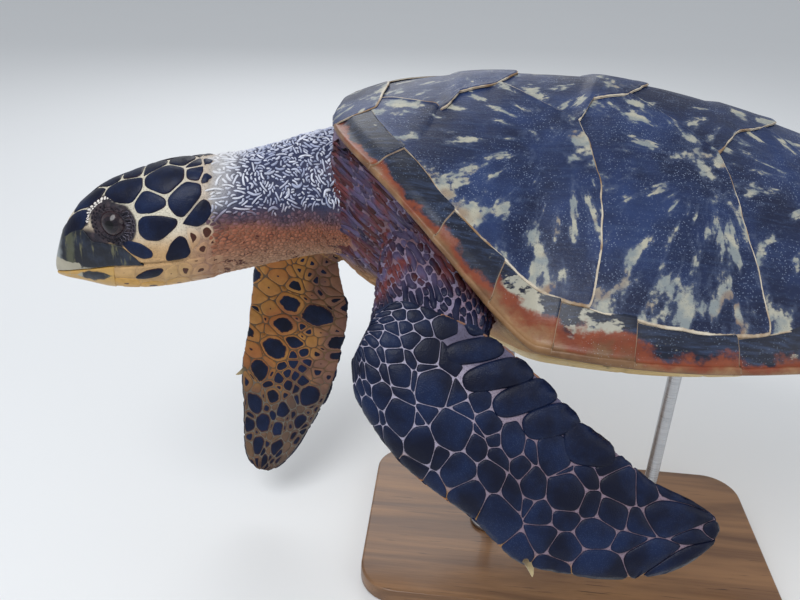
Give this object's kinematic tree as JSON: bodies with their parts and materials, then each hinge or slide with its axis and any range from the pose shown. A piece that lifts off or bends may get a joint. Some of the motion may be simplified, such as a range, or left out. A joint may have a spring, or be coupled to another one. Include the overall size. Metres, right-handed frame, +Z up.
{
  "type": "hawksbill sea turtle model",
  "caption": "Life-size swimming hawksbill sea turtle with overlapping shell scutes, a narrow hooked beak and long flippers, held on a flat stand by short rods.",
  "frame": {"origin": "on the floor under the middle of the stand's base", "axes": "-X towards the turtle's nose, -Y towards its left side, +Z up"},
  "size_m": [1.0708, 0.6143, 0.6167],
  "materials": {
    "scute": "dark horn with cream and amber streaks, satin",
    "plastron": "pale yellow horn, satin",
    "skin": "wrinkled granular skin",
    "scales": "dark horny scales with pale seams",
    "beak": "horn, satin",
    "eye": "wet, polished",
    "claw": "horn, satin",
    "stand_wood": "dark oiled wood",
    "stand_steel": "brushed"
  },
  "bodies": {
    "root": {"nuchal": "scute", "vertebral_1": "scute", "vertebral_2": "scute", "vertebral_3": "scute", "vertebral_4": "scute", "vertebral_5": "scute", "costal_left_1": "scute", "costal_left_2": "scute", "costal_left_3": "scute", "costal_left_4": "scute", "marginal_left_1": "scute", "marginal_left_2": "scute", "marginal_left_3": "scute", "marginal_left_4": "scute", "marginal_left_5": "scute", "marginal_left_6": "scute", "marginal_left_7": "scute", "marginal_left_8": "scute", "marginal_left_9": "scute", "marginal_left_10": "scute", "marginal_left_11": "scute", "supracaudal_left": "scute", "costal_right_1": "scute", "costal_right_2": "scute", "costal_right_3": "scute", "costal_right_4": "scute", "marginal_right_1": "scute", "marginal_right_2": "scute", "marginal_right_3": "scute", "marginal_right_4": "scute", "marginal_right_5": "scute", "marginal_right_6": "scute", "marginal_right_7": "scute", "marginal_right_8": "scute", "marginal_right_9": "scute", "marginal_right_10": "scute", "marginal_right_11": "scute", "supracaudal_right": "scute", "plastron": "plastron", "trunk": "skin", "tail": "skin", "neck": "skin", "head": "scales", "beak_upper": "beak", "jaw": "scales", "beak_lower": "beak", "eye_left": "eye", "eye_right": "eye", "arm_left": "skin", "flipper_front_left": "scales", "claw_front_left": "claw", "flipper_hind_left": "scales", "arm_right": "skin", "flipper_front_right": "scales", "claw_front_right": "claw", "flipper_hind_right": "scales", "stand_base": "stand_wood", "stand_rod_front": "stand_steel", "stand_rod_rear": "stand_steel"}
  },
  "joints": []
}
